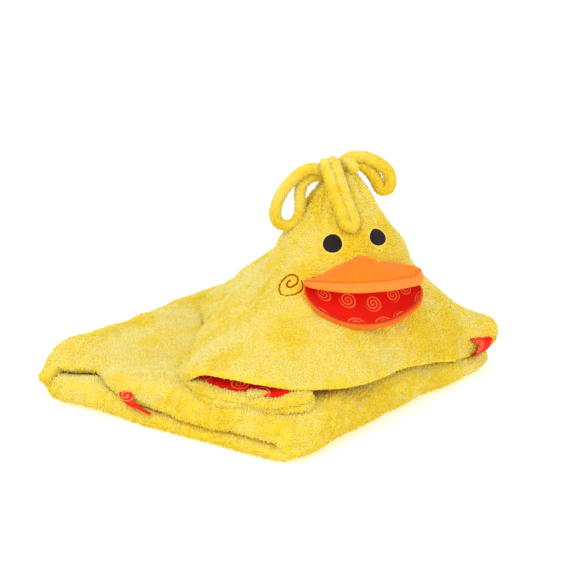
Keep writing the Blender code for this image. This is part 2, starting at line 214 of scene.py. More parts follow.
def place(piece, slot, body, *nodes):
    """Hides the plain solids that the piece stands for and lets it move with its body; what it is made of
    (slot) is not used.
    """
    if nodes:
        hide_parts(*nodes)
    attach(piece, body)


def thick_sheet(name, points, uv, thickness, material):
    """Cloth of that thickness about a grid of points, with rounded free edges."""
    rows, columns = points.shape[:2]
    normals = grid_normals(points)

    def from_edges(steps, axis):
        start = np.zeros((1, columns) if axis == 0 else (rows, 1))
        run = np.concatenate([start, np.cumsum(steps, axis=axis)], axis=axis)
        return np.minimum(run, run.take([-1], axis=axis) - run)

    inset = np.minimum(from_edges(np.linalg.norm(np.diff(points, axis=0), axis=2), 0),
                       from_edges(np.linalg.norm(np.diff(points, axis=1), axis=2), 1))
    half = thickness / 2.0
    depth = np.clip(inset / half, 0.0, 1.0)
    lift = half * np.sqrt(1.0 - (1.0 - depth) ** 2)
    upper = points + normals * lift[:, :, None]
    lower = points - normals * lift[:, :, None]
    index_up = np.arange(rows * columns).reshape(rows, columns)
    inner = np.zeros((rows, columns), bool)
    inner[1:-1, 1:-1] = True
    index_low = index_up.copy()
    index_low[inner] = rows * columns + np.arange(inner.sum())
    vertices = np.concatenate([upper.reshape(-1, 3), lower[inner]])
    places = np.concatenate([uv.reshape(-1, 2), uv[inner]])
    faces = []
    for index, flip in ((index_up, False), (index_low, True)):
        a, b, c, d = index[:-1, :-1], index[:-1, 1:], index[1:, 1:], index[1:, :-1]
        quads = np.stack([a, d, c, b] if flip else [a, b, c, d], axis=2).reshape(-1, 4)
        faces.extend(quads.tolist())
    return new_mesh(name, vertices, faces, places, material)


def tube(name, line, radius, material, sides=14, closed=False):
    """A soft tube along a line, with rounded ends or closed to a ring."""
    line = np.asarray(line, float)
    count = len(line)
    radii = np.full(count, radius)
    if closed:
        tangents = np.roll(line, -1, axis=0) - np.roll(line, 1, axis=0)
    else:
        tangents = np.gradient(line, axis=0)
    tangents /= np.linalg.norm(tangents, axis=1)[:, None]
    side = np.cross(tangents[0], [0.0, 0.0, 1.0])
    if np.linalg.norm(side) < 0.2:
        side = np.cross(tangents[0], [0.0, 1.0, 0.0])
    side /= np.linalg.norm(side)
    rings = []
    lengths = run_of(line)
    if not closed:
        reach = np.minimum(lengths, lengths[-1] - lengths)
        radii *= np.sqrt(1.0 - (1.0 - np.clip(reach / radii, 0.02, 1.0)) ** 2)
    turns = np.linspace(0.0, 2.0 * math.pi, sides, endpoint=False)
    places = []
    for i in range(count):
        side = side - tangents[i] * (side @ tangents[i])
        side /= np.linalg.norm(side)
        other = np.cross(tangents[i], side)
        ring = radii[i] * (np.cos(turns)[:, None] * side + np.sin(turns)[:, None] * other)
        rings.append(line[i] + ring)
        places.append(np.stack([turns * radii[i], np.full(sides, lengths[i])], axis=1))
    faces = []
    for i in range(count if closed else count - 1):
        a, b = i * sides, ((i + 1) % count) * sides
        for k in range(sides):
            faces.append([a + k, a + (k + 1) % sides, b + (k + 1) % sides, b + k])
    if not closed:
        faces.append(list(range(sides))[::-1])
        faces.append([(count - 1) * sides + k for k in range(sides)])
    return new_mesh(name, np.concatenate(rings), faces, np.concatenate(places), material)


# ---------------- materials

def new_material(name, colour, roughness, sheen, sheen_tint, sheen_roughness=0.5):
    """A cloth material and its node tree, with the plain values set on the shader."""
    material = bpy.data.materials.new(name)
    material.use_nodes = True
    shader = material.node_tree.nodes["Principled BSDF"]
    for socket, value in (("Base Color", (*colour, 1.0)), ("Roughness", roughness),
                          ("Specular IOR Level", 0.15), ("Sheen Weight", sheen),
                          ("Sheen Tint", (*sheen_tint, 1.0)), ("Sheen Roughness", sheen_roughness)):
        shader.inputs[socket].default_value = value
    return material, material.node_tree, shader


def object_places(tree):
    return tree.nodes.new("ShaderNodeTexCoord").outputs["Object"]


def noise_node(tree, coordinates, scale, detail=2.0):
    """Cloudy values of 0 to 1, that many to the metre."""
    node = tree.nodes.new("ShaderNodeTexNoise")
    node.inputs["Scale"].default_value = scale
    node.inputs["Detail"].default_value = detail
    tree.links.new(coordinates, node.inputs["Vector"])
    return node.outputs["Fac"]


def wave_node(tree, coordinates, scale, distortion=0.0):
    node = tree.nodes.new("ShaderNodeTexWave")
    node.inputs["Scale"].default_value = scale
    node.inputs["Distortion"].default_value = distortion
    tree.links.new(coordinates, node.inputs["Vector"])
    return node.outputs["Fac"]


def ramp_node(tree, value, *stops):
    node = tree.nodes.new("ShaderNodeValToRGB")
    elements = node.color_ramp.elements
    while len(elements) < len(stops):
        elements.new(0.5)
    for element, (place, colour) in zip(elements, stops):
        element.position = place
        element.color = (*colour, 1.0)
    tree.links.new(value, node.inputs["Fac"])
    return node.outputs["Color"]


def bump_node(tree, shader, height, strength, distance):
    node = tree.nodes.new("ShaderNodeBump")
    node.inputs["Strength"].default_value = strength
    node.inputs["Distance"].default_value = distance
    tree.links.new(height, node.inputs["Height"])
    tree.links.new(node.outputs["Normal"], shader.inputs["Normal"])


def terry_material(name, deep, pale):
    """Terry: uneven yellow in broad random patches, with painted shade deep between the loops and painted
    light pale on their tips, and fine loop bumps.
    """
    material, tree, shader = new_material(name, pale, 0.95, 0.25, (1.0, 0.90, 0.45), 0.55)
    coordinates = object_places(tree)
    broad = noise_node(tree, coordinates, 22.0, 3.0)
    fine = noise_node(tree, coordinates, 420.0, 2.0)
    # the fine bumps also set the colour: painted shade where they sit low, painted light where they stand
    # high
    mixed = math_node(tree, "MULTIPLY_ADD", fine, 0.55, math_node(tree, "MULTIPLY", broad, 0.45))
    colour = ramp_node(tree, mixed, (0.36, deep), (0.62, pale))
    tree.links.new(colour, shader.inputs["Base Color"])
    bump_node(tree, shader, fine, 0.6, 0.0012)
    return material


def math_node(tree, operation, first, second=None, third=None):
    node = tree.nodes.new("ShaderNodeMath")
    node.operation = operation
    for socket, value in zip(node.inputs, (first, second, third)):
        if value is None:
            continue
        if isinstance(value, (int, float)):
            socket.default_value = value
        else:
            tree.links.new(value, socket)
    return node.outputs["Value"]


# The printed cotton: its colours, and the spirals' spacing, radius, pitch, scatter and stroke
PRINT_GROUND = (0.80, 0.010, 0.003)
PRINT_STROKE = (0.98, 0.22, 0.055)
SPIRAL_SPACING = 0.0285
SPIRAL_RADIUS = 0.0098
SPIRAL_PITCH = 0.0040
SPIRAL_SCATTER = 0.42
HALF_STROKE = 0.215


def vector_node(tree, operation, *sources):
    node = tree.nodes.new("ShaderNodeVectorMath")
    node.operation = operation
    for socket, source in zip(node.inputs, sources):
        tree.links.new(source, socket)
    return node


def split_node(tree, source):
    node = tree.nodes.new("ShaderNodeSeparateXYZ")
    tree.links.new(source, node.inputs["Vector"])
    return node.outputs


def print_material(name):
    """Red plain-woven cotton printed with light-orange spirals of about two and a half turns."""
    material, tree, shader = new_material(name, PRINT_GROUND, 0.72, 0.04, (1.0, 0.4, 0.2))
    uv = tree.nodes.new("ShaderNodeUVMap")
    uv.uv_map = "cloth"
    cells = tree.nodes.new("ShaderNodeTexVoronoi")
    cells.voronoi_dimensions = "2D"
    cells.inputs["Scale"].default_value = 1.0 / SPIRAL_SPACING
    cells.inputs["Randomness"].default_value = SPIRAL_SCATTER
    tree.links.new(uv.outputs["UV"], cells.inputs["Vector"])
    offset = vector_node(tree, "SUBTRACT", uv.outputs["UV"], cells.outputs["Position"]).outputs["Vector"]
    radius = vector_node(tree, "LENGTH", offset).outputs["Value"]
    parts = split_node(tree, offset)
    chance = split_node(tree, cells.outputs["Color"])
    angle = math_node(tree, "ARCTAN2", parts["Y"], parts["X"])
    turned = math_node(tree, "MULTIPLY_ADD", angle, 1.0 / (2.0 * math.pi), chance["X"])
    arms = math_node(tree, "MULTIPLY_ADD", radius, -1.0 / SPIRAL_PITCH, turned)
    away = math_node(tree, "ABSOLUTE", math_node(tree, "SUBTRACT", math_node(tree, "FRACT", arms), 0.5))
    stroke = math_node(tree, "LESS_THAN", away, HALF_STROKE)
    inside = math_node(tree, "LESS_THAN", radius, SPIRAL_RADIUS)
    blend = tree.nodes.new("ShaderNodeMix")
    blend.data_type = "RGBA"
    blend.inputs["A"].default_value = (*PRINT_GROUND, 1.0)
    blend.inputs["B"].default_value = (*PRINT_STROKE, 1.0)
    tree.links.new(math_node(tree, "MULTIPLY", stroke, inside), blend.inputs["Factor"])
    tree.links.new(blend.outputs["Result"], shader.inputs["Base Color"])
    weave = wave_node(tree, uv.outputs["UV"], 500.0)
    bump_node(tree, shader, weave, 0.15, 0.0003)
    return material


def fleece_material(name, deep, pale):
    """Brushed fleece: soft, matt and slightly mottled."""
    material, tree, shader = new_material(name, pale, 0.90, 0.16, (1.0, 0.70, 0.4), 0.5)
    mottle = noise_node(tree, object_places(tree), 260.0, 3.0)
    tree.links.new(ramp_node(tree, mottle, (0.30, deep), (0.68, pale)), shader.inputs["Base Color"])
    bump_node(tree, shader, mottle, 0.35, 0.0006)
    return material


def satin_material(name):
    """Near-black satin stitch with fine parallel threads."""
    material, tree, shader = new_material(name, (0.014, 0.009, 0.010), 0.45, 0.04, (0.5, 0.4, 0.45))
    bump_node(tree, shader, wave_node(tree, object_places(tree), 420.0, 1.2), 0.4, 0.0004)
    return material


def thread_material(name, colour):
    """Sewing thread with a fine twist."""
    material, tree, shader = new_material(name, colour, 0.60, 0.15, (1.0, 0.6, 0.4))
    bump_node(tree, shader, noise_node(tree, object_places(tree), 1500.0), 0.5, 0.0003)
    return material


def floor_material(name):
    material, _, shader = new_material(name, (0.80, 0.80, 0.80), 0.9, 0.0, (1.0, 1.0, 1.0))
    shader.inputs["Emission Color"].default_value = (1.0, 1.0, 1.0, 1.0)
    shader.inputs["Emission Strength"].default_value = 0.42
    return material


# ---------------- the folded stack

def plan(p, s):
    """X and Y of a place in the stack's plan."""
    return p[..., None] * P_AXIS + s[..., None] * S_AXIS


def stack_top(p, s):
    """Height of the stack's top, thinner towards the right and back."""
    thinner = 0.023 * ease((s + 0.03) / 0.20) * ease((p + 0.10) / 0.20)
    back = 0.001 * ease((s - 0.02) / 0.16) * ease((0.02 - p) / 0.14)
    left_rise = 0.0022 * ease((-0.02 - p) / 0.10) * ease((s + 0.15) / 0.08)
    corner_rise = 0.0048 * np.exp(-((p + 0.172) / 0.030) ** 2 - ((s + 0.152) / 0.046) ** 2)
    return 0.0465 - thinner - back + left_rise + corner_rise


def crease_height(p, s):
    """Height of the crease between the lower and upper leaf, lowest near the front corner."""
    near_edge = 0.028 + (0.0150 - 0.028) * ease((p + 0.068) / 0.040) + 0.004 * ease((p - 0.06) / 0.10)
    near_edge = near_edge + 0.0065 * bump(p, -0.100, 0.030) - 0.005 * ease((-0.150 - p) / 0.03)
    share = ease((s + 0.16) / 0.05)
    return near_edge * (1.0 - share) + 0.5 * stack_top(p, s) * share


def shape_stack(p, s, z):
    """The neat fold pulled into the shape it has: puffy, uneven and opened at its left corner."""
    share = z / STACK_HEIGHT
    edge = 1.0 - ease((s + HALF_SIDE) / 0.050)
    at_left = 1.0 - ease((p + 0.108) / 0.055)
    # the leaves press together at the crease, most at the left
    pressed = 0.030 * edge * (0.45 + 0.55 * at_left) * bump(share, 0.5, 0.08)
    share = share - pressed * np.tanh((share - 0.5) / 0.03)
    crease = crease_height(p, s)
    top = stack_top(p, s)
    low = np.minimum(share, 0.5) / 0.5
    high = np.maximum(share - 0.5, 0.0) / 0.5
    height = crease * low + (top - crease) * high
    # at the left the upper leaf slants back under its own lip; further on it hangs over a little
    slant_from = 0.52 - 0.20 * ease((p + 0.160) / 0.050)
    slant = 0.036 * at_left * ease((share - slant_from) / (0.88 - slant_from))
    slant = slant * (1.0 - ease((s + HALF_SIDE) / 0.120))
    lip = 0.0080 * at_left * bump(share, 0.98, 0.055)
    overhang = 0.0045 * ease((p + 0.03) / 0.05) * bump(share, 0.68, 0.20)
    pleat = 0.0040 * bump(height, 0.0325, 0.0022) * bump(p, 0.045, 0.055, 4)
    # the crease is filled out, less and less towards the left and the front corner
    filled = (0.0065 + 0.0020 * at_left) * bump(share, 0.5, 0.09) * (1.0 - ease((p - 0.11) / 0.04))
    filled = filled * (0.15 + 0.85 * ease((p + 0.186) / 0.030))
    s = s + slant + edge * (pleat - lip - overhang - filled)
    # rounded corners in plan
    reach = np.maximum(np.abs(p), np.abs(s))
    ratio = np.minimum(np.abs(p), np.abs(s)) / np.maximum(reach, 1e-6)
    corner = np.clip((ratio - 0.72) / 0.28, 0.0, 1.0)
    tight = np.where((p < 0.0) & (s < 0.0), 0.056, np.where((p > 0.0) & (s > 0.0), 0.004, 0.036))
    shrink = 1.0 - tight * corner**2.2
    p, s = p * shrink, s * shrink
    # the panel was folded a little askew
    s = s - (0.0155 - 0.0025 * ease((p + 0.16) / 0.26)) * (1.0 - ease((s + HALF_SIDE) / 0.22))
    p = p - (0.0030 - 0.0040 * ease((s - 0.02) / 0.10)) * ease((p - 0.02) / 0.15)
    points = np.concatenate([plan(p, s), height[..., None]], axis=-1)
    upper = ease(share / 0.9)
    points[..., 2] += upper * (0.0026 * rolling(points, 11, 0.085) + 0.0007 * rolling(points, 12, 0.030))
    outward = np.stack([rolling(points, 13, 0.070), rolling(points, 14, 0.070)], axis=-1)
    points[..., :2] += 0.0022 * outward * ease(share / 0.2)[..., None]
    points[..., 2] = np.maximum(points[..., 2], 0.0)
    return points


def gate_path(q):
    """Centre line of the gate fold from its left-front side: from one gate edge round to the other."""
    # the gate's edges overlap by the cloth's thickness, so that their seam is closed
    edge_p = GATE_SEAM + CLOTH / 2.0
    middle = 0.5 * (LEAF_LOW + LEAF_HIGH)
    bend = math.pi * FOLD_RADIUS
    marks = np.cumsum([0.0, edge_p + LEAF_REACH, bend, 2.0 * LEAF_REACH, bend,
                       LEAF_REACH - GATE_SEAM + CLOTH / 2.0])
    p = np.zeros_like(q)
    z = np.zeros_like(q)
    normal = np.zeros(q.shape + (2,))

    def flat_run(part, places, height, up):
        p[part], z[part], normal[part] = places[part], height, (0.0, up)

    def bent_run(part, start, side):
        turn = math.pi * (q[part] - start) / bend
        p[part] = side * LEAF_REACH + side * FOLD_RADIUS * np.sin(turn)
        z[part] = middle - side * FOLD_RADIUS * np.cos(turn)
        normal[part] = np.stack([side * np.sin(turn), -side * np.cos(turn)], axis=-1)

    flat_run(q <= marks[1], edge_p - q, LEAF_HIGH, 1.0)
    bent_run((q > marks[1]) & (q <= marks[2]), marks[1], -1.0)
    flat_run((q > marks[2]) & (q <= marks[3]), -LEAF_REACH + (q - marks[2]), LEAF_LOW, -1.0)
    bent_run((q > marks[3]) & (q <= marks[4]), marks[3], 1.0)
    flat_run(q > marks[4], LEAF_REACH - (q - marks[4]), LEAF_HIGH, 1.0)
    return p, z, normal, marks[-1]


def build_stack(terry):
    """The towel's panel: one square of terry, half-folded and gate-folded."""
    total = gate_path(np.zeros(1))[3]
    q = spaced(0.0, total, GRID_STEP, CLOTH / 2.0)
    w = spaced(-HALF_WIDTH, HALF_WIDTH, GRID_STEP, CLOTH / 2.0)
    quarter = HALF_FOLD_RADIUS * math.pi / 2.0
    bent = np.clip(w / HALF_FOLD_RADIUS, -math.pi / 2.0, math.pi / 2.0)
    s = (-HALF_SIDE + CLOTH / 2.0 + HALF_FOLD_RADIUS * (1.0 - np.cos(bent))
         + np.maximum(np.abs(w) - quarter, 0.0))
    offset = HALF_FOLD_RADIUS * np.sin(bent)
    offset = offset * (1.0 - 0.42 * ease((np.abs(w) - 0.26) / 0.10))
    p, z, normal, _ = gate_path(q)
    pp = p[:, None] + normal[:, None, 0] * offset[None, :]
    zz = z[:, None] + normal[:, None, 1] * offset[None, :]
    ss = np.broadcast_to(s[None, :], pp.shape)
    points = shape_stack(pp, ss, zz)
    uv = np.stack(np.broadcast_arrays(q[:, None], w[None, :]), axis=-1)
    piece = thick_sheet("towel_cloth", points, uv, CLOTH, terry)
    drop_to_floor(piece)
    place(piece, "terry", "towel", "towel_panel")
    return piece


def drop_to_floor(piece):
    """Flattens what would sink below the floor."""
    points = read(piece.data.vertices, "co", 3)
    points[:, 2] = np.maximum(points[:, 2], 0.0)
    piece.data.vertices.foreach_set("co", points.reshape(-1))
    piece.data.update()


# ---------------- the hood

def cone_radius(angles, height):
    """Distance from the upright line to a plain tent's side."""
    return CROWN_RADIUS + around(SIDE_SLOPE, angles) * (CROWN_HEIGHT - height)


def hood_radius(angles, height):
    """Distance of the hood's cloth from its upright line, above the rolled rim."""
    rim_height = around(RIM_HEIGHT, angles)
    level = np.clip((height - rim_height) / (CROWN_HEIGHT - rim_height), 0.0, 1.0)
    spread = around(RIM_RADIUS, angles) - cone_radius(angles, rim_height)
    flat_side = 0.0052 * bump(height, 0.174, 0.017) * bump(np.asarray(angles), -12.0, 46.0)
    return cone_radius(angles, height) + spread * (1.0 - level) ** around(SPREAD_POWER, angles) - flat_side


def hood_dent(angles, height):
    """How far the cloth stands out or in: gathered pleats under the crown and soft furrows lower down."""
    turn = np.radians(angles)
    level = np.clip((height - 0.060) / (CROWN_HEIGHT - 0.060), 0.0, 1.0)
    gathered = ease((level - 0.60) / 0.26) * (1.0 - 0.55 * ease((level - 0.90) / 0.10))
    pleats = np.sin(9.0 * turn + 1.3 * np.sin(2.0 * turn) + 0.6) + 0.4 * np.sin(17.0 * turn + 2.0)
    furrow_line = 0.108 + 0.006 * np.sin((angles + 118.0) / 16.0)
    furrow = bump(height, furrow_line, 0.0042) * bump(angles, -116.0, 15.0, 4)
    return 0.0026 * gathered * pleats - 0.0050 * furrow


def upright_point(angles, height, radius):
    """The point in that direction from the hood's upright line, at that height and distance."""
    turn = np.radians(angles)
    x = HOOD_AXIS[0] + radius * np.cos(turn)
    y = HOOD_AXIS[1] + radius * np.sin(turn)
    return np.stack([x, y, height + np.zeros_like(radius)], axis=-1)


def hood_at(angles, height, out=0.0):
    """A point on the middle of the hood's cloth, or that far out from it."""
    neat = hood_radius(angles, height)
    points = upright_point(angles, height, neat)
    calm = 1.0 - ease((height - 0.185) / 0.04)
    swell = calm * (0.0036 * rolling(points, 21, 0.095) + 0.0011 * rolling(points, 22, 0.040))
    return upright_point(angles, height, neat + hood_dent(angles, height) + swell + out)


def hood_patch(angle, height, across, up, out):
    """Points near a place on the hood, that far across, up its slope and out from it."""
    radius = hood_radius(np.array([angle]), np.array([height]))[0]
    angles = angle + np.degrees(across / radius)
    heights = height + up / math.hypot(1.0, CONE_SLOPE)
    return hood_at(angles, heights, np.asarray(out) * math.hypot(1.0, CONE_SLOPE))


def hood_grid(angles, rows, inwards, roll_share):
    """Grid of the hood's cloth from the crown to the rolled rim, for the given directions."""
    rim_height = around(RIM_HEIGHT, angles)[None, :]
    height = CROWN_HEIGHT + (rim_height - CROWN_HEIGHT) * rows[:, None]
    main = hood_at(np.broadcast_to(angles[None, :], height.shape), height)
    crown = np.linalg.norm(main[0, :, :2] - HOOD_AXIS, axis=1)
    cap = [upright_point(angles, CROWN_HEIGHT + CAP_RISE * math.sqrt(1.0 - share**2), crown * share)
           for share in (0.04, 0.25, 0.50, 0.75, 0.93)]
    step = main[-1] - main[-2]
    ways = np.radians(angles)
    outward = np.stack([np.cos(ways), np.sin(ways), np.zeros(len(angles))], axis=-1)
    slope = np.arctan2(-step[:, 2], (step * outward).sum(axis=1))
    turn = np.radians(around(RIM_TURN, angles)) * roll_share
    roll = around(RIM_ROLL, angles)
    curl = []
    for share in (0.08, 0.16, 0.25, 0.34, 0.44, 0.54, 0.64, 0.74, 0.83, 0.90, 0.95, 0.98, 1.0):
        bend = slope + turn * share
        reach = roll * (np.sin(bend) - np.sin(slope))
        drop = roll * (np.cos(slope) - np.cos(bend))
        curl.append(main[-1] + outward * reach[:, None] - UP * drop[:, None])
    points = np.concatenate([np.array(cap), main, np.array(curl)])
    return points + grid_normals(points) * inwards


def hood_piece(name, start, end, slot, material, inwards, thickness, step, roll_share, *nodes):
    """One cloth of the hood, from the direction of one side seam round to the other's."""
    count = max(8, int(round((end - start) / step)))
    angles = spaced(start, end, (end - start) / count, 1.1)
    rows = np.concatenate([[0.0, 0.004, 0.010], np.linspace(0.018, 0.999, 92), [1.0]])
    points = hood_grid(angles, rows, inwards, roll_share)
    lengths = run_of(points[:, len(angles) // 2])
    # the cut is a sector: the tent rolled out flat
    sector = np.radians(angles - 0.5 * (start + end))[None, :] * CONE_SLOPE / math.hypot(1.0, CONE_SLOPE)
    uv = np.stack([lengths[:, None] * np.sin(sector), lengths[:, None] * np.cos(sector)], axis=-1)
    piece = thick_sheet(name, points, uv, thickness, material)
    place(piece, slot, "hood", *nodes)
    return piece


def build_hood(terry, printed):
    front = hood_piece("hood_face_cloth", SEAM_LEFT, SEAM_RIGHT, "terry", terry, 0.0, HOOD_CLOTH, 0.9, 1.0,
                       "hood_front_shell", "opening_hem", "left_seam_cord", "right_seam_cord")
    back = hood_piece("hood_back_cloth", SEAM_RIGHT, SEAM_LEFT + 360.0, "terry", terry, 0.0, HOOD_CLOTH, 0.9,
                      1.0, "hood_back_shell", "tuft_patch")
    lining = hood_piece("hood_lining_cloth", SEAM_LEFT + 2.0, SEAM_RIGHT - 2.0, "print", printed,
                        LINING_INSET, LINING_CLOTH, 1.6, 0.75, "hood_lining")
    return front, back, lining


# ---------------- the neck fold and the printed facings

# The neck fold's line in plan and its section of (inward, height)
NECK_LINE = [(-0.100, -0.070), (-0.108, -0.110), (-0.104, -0.143), (-0.090, -0.170), (-0.067, -0.193),
             (-0.042, -0.211), (-0.018, -0.224), (0.001, -0.223), (0.011, -0.208), (0.009, -0.186)]
NECK_SECTION = [(0.050, 0.0460), (0.026, 0.0455), (0.008, 0.0440), (0.0008, 0.0440), (-0.0022, 0.0458),
                (-0.0006, 0.0482), (0.0010, 0.0494), (-0.0002, 0.0508), (-0.0008, 0.0526), (0.0010, 0.0544),
                (0.0050, 0.0558), (0.0120, 0.0562), (0.0320, 0.0560), (0.0640, 0.0550)]


def inward_of(line):
    """Unit normals in plan, to the left of the line's direction."""
    along = np.gradient(line, axis=0)
    along /= np.linalg.norm(along, axis=1)[:, None]
    return np.stack([-along[:, 1], along[:, 0]], axis=-1)


def along_line(line, section, wave):
    """Grid of points of a section of (inward, height) carried along a line in plan."""
    inward = inward_of(line)
    points = np.zeros((len(section), len(line), 3))
    for i, (inset, height) in enumerate(section):
        points[i, :, :2] = line + inward * inset
        points[i, :, 2] = height
    return points + wave * np.stack([rolling(points, 31, 0.034), rolling(points, 32, 0.034),
                                     0.5 * rolling(points, 33, 0.045)], axis=-1)


def grid_uv(points):
    """Texture places in metres, measured along the middle row and the middle column."""
    u = run_of(points[points.shape[0] // 2])
    v = run_of(points[:, points.shape[1] // 2])
    return np.stack(np.broadcast_arrays(u[None, :], v[:, None]), axis=-1)


def build_neck(terry, printed):
    line = smooth_line(NECK_LINE, 110)
    points = along_line(line, smooth_line(NECK_SECTION, 74), 0.0011)
    points[:, :, 2] += 0.0040 * ease((np.linspace(0.0, 1.0, len(line)) - 0.70) / 0.14)
    fold = thick_sheet("neck_fold_cloth", points, grid_uv(points), NECK_CLOTH, terry)
    place(fold, "terry", "towel", "neck_fold")
    # the facing lies on the fold and rises inwards, up to the hood's lining
    rise = [(inset, 0.0596 + 0.42 * min(inset - 0.0062, 0.028)) for inset in np.linspace(0.0062, 0.070, 34)]
    top = along_line(line[: int(len(line) * 0.84)], rise, 0.0007)
    facing = thick_sheet("neck_facing_cloth", top, grid_uv(top), FACING_CLOTH, printed)
    place(facing, "print", "towel", "neck_facing")
    return fold, facing


# The side facing's two edges, as places along the stack's side and heights
SIDE_FACING_LEFT = [(-0.056, 0.0415), (-0.055, 0.0370), (-0.050, 0.0295), (-0.037, 0.0215),
                    (-0.008, 0.0175)]
SIDE_FACING_RIGHT = [(-0.031, 0.0415), (-0.032, 0.0375), (-0.031, 0.0320), (-0.025, 0.0250),
                     (-0.007, 0.0195)]
# The corner facing's line in plan and its section of (inward, height)
CORNER_LINE = [(0.226, -0.037), (0.235, -0.029), (0.245, -0.019), (0.2525, -0.008), (0.2565, 0.003),
               (0.250, 0.013), (0.238, 0.022)]
CORNER_SECTION = [(0.034, 0.0400), (0.018, 0.0430), (0.008, 0.0440), (0.0010, 0.0425), (-0.0010, 0.0390),
                  (-0.0005, 0.0345), (0.0012, 0.0305), (0.0045, 0.0275), (0.010, 0.0255)]


def build_side_facing(printed):
    """The printed strip that shows between the leaves at the left: a crescent that follows the crease."""
    t = np.linspace(0.0, 1.0, 26)
    share = np.linspace(0.0, 1.0, 14)
    left = smooth_line(SIDE_FACING_LEFT, 26)[:, None]
    right = smooth_line(SIDE_FACING_RIGHT, 26)[:, None]
    flat = left * (1 - share)[None, :, None] + right * share[None, :, None]
    bulge = np.sin(math.pi * share)[None, :] * (1.0 - 0.6 * t[:, None])
    s = -HALF_SIDE - 0.0170 - 0.0025 * bulge + 0.012 * (1.0 - ease(t / 0.25))[:, None]
    points = np.concatenate([plan(flat[..., 0], s), flat[..., 1:2]], axis=-1)
    piece = thick_sheet("side_facing_cloth", points, grid_uv(points) + (0.003, -0.007), FACING_CLOTH, printed)
    place(piece, "print", "towel", "fold_facing")
    return piece


def build_corner_facing(printed):
    """The printed lining that bulges out under the hood's edge at the right corner."""
    points = along_line(smooth_line(CORNER_LINE, 48), smooth_line(CORNER_SECTION, 30), 0.0012)
    uv = grid_uv(points) + (-0.002, -0.008)
    piece = thick_sheet("corner_facing_cloth", points, uv, FACING_CLOTH, printed)
    place(piece, "print", "towel", "corner_facing")
    return piece


# ---------------- the face

# The mouth line between the beak's halves: its middle and half its width in degrees, height and tilt
MOUTH_MIDDLE = -79.8
MOUTH_HALF_TURN = 45.8
MOUTH_HEIGHT = 0.1323
MOUTH_TILT = 0.0058
# The beak: how much its sides fan out, how far each half reaches, and its rise and drop on the hood
BEAK_FAN = 0.56
UPPER_REACH = 0.0447
LOWER_REACH = 0.0403
UPPER_RISE = 0.0275
LOWER_DROP = 0.0316
LOWER_FOOT = 0.0190
# Direction and height of each eye and each cheek swirl
EYES = {"left": (-110.1, 0.1730), "right": (-54.8, 0.1742)}
EYE_RADIUS = 0.0099
CHEEK_SWIRLS = {"left": (-133.5, 0.1354), "right": (24.0, 0.1290)}


def mouth_point(across, rise=0.0, out=0.0):
    """A point above or below the mouth line; across runs from -1 to 1 between its corners."""
    angles = MOUTH_MIDDLE + MOUTH_HALF_TURN * across
    return hood_at(angles, MOUTH_HEIGHT - MOUTH_TILT * across + rise, out)


def in_mouth(places):
    """Whether places on the hood lie behind the beak, between its upper and lower seams."""
    from_axis = places[:, :2] - HOOD_AXIS
    across = (np.degrees(np.arctan2(from_axis[:, 1], from_axis[:, 0])) - MOUTH_MIDDLE) / MOUTH_HALF_TURN
    full = np.sqrt(np.clip(1.0 - across**2, 0.0, 1.0))
    rise = places[:, 2] - (MOUTH_HEIGHT - MOUTH_TILT * across)
    inside = (rise < UPPER_RISE * beak_rise(np.clip(across, -1.0, 1.0))) & (rise > -LOWER_FOOT * full**0.8)
    return inside & (np.abs(across) < 1.0)


def ahead(across):
    """The way the beak points at each place across, fanned out a little."""
    turn = np.radians(MOUTH_MIDDLE + BEAK_FAN * MOUTH_HALF_TURN * across)
    return np.stack([np.cos(turn), np.sin(turn), np.zeros_like(turn)], axis=-1)


def bezier(a, b, c, d, count):
    t = np.linspace(0.0, 1.0, count)[:, None, None]
    return (1 - t) ** 3 * a + 3 * (1 - t) ** 2 * t * b + 3 * (1 - t) * t**2 * c + t**3 * d


def beak_columns():
    """Places across the mouth, closer at its corners, and how full the beak is there."""
    across = np.sin(np.linspace(-1.0, 1.0, 61) * math.radians(86.0))
    return across, np.sqrt(1.0 - across**2)


def beak_rise(across):
    """Height of the upper beak's seam on the forehead: a peak in the middle and a lower right shoulder."""
    left = (1.0 - np.abs(across) ** 1.8) ** 1.15
    right = 1.0 - 0.27 * ease(across / 0.42) - 0.13 * ease((across - 0.45) / 0.5)
    right = right * (1.0 - np.abs(across) ** 16)
    return np.where(across < 0.0, left, right)


def upper_lines():
    """The upper beak's lines across: dome, front band, underside, back and the groove under the dome."""
    across, full = beak_columns()
    c = full[:, None]
    forward = ahead(across)
    rise = UPPER_RISE * beak_rise(across)
    root = mouth_point(across, rise, 0.0015)
    front = mouth_point(across) + forward * UPPER_REACH * c**0.60 + UP * 0.0065 * c
    turned_up = 0.0100 * ease((across - 0.52) / 0.36)[:, None]
    groove = front + UP * (0.0105 * c**0.6 + turned_up * c**0.4) - forward * 0.0042 * c**0.5
    reach = np.linalg.norm((groove - root)[:, :2], axis=1)[:, None]
    dome = bezier(root, root + forward * 0.42 * reach + UP * 0.0060 * c,
                  groove - forward * 0.16 * reach + UP * 0.0060 * c, groove, 22)
    share = np.linspace(0.0, 1.0, 11)[1:, None, None]
    band = groove + (front - groove) * share + forward * 0.0034 * np.sin(math.pi * share) ** 0.8 * c**0.5
    tuck = front - forward * 0.0045 * c**0.5 - UP * 0.0012 * c
    inner = mouth_point(across, 0.0020 * full, -0.003)
    lift = UP * 0.0045 * c
    under = bezier(tuck, tuck * 0.66 + inner * 0.34 + lift, tuck * 0.33 + inner * 0.67 + lift, inner, 14)
    return dome, band, under, mouth_point(across, 0.5 * rise, -0.004), groove


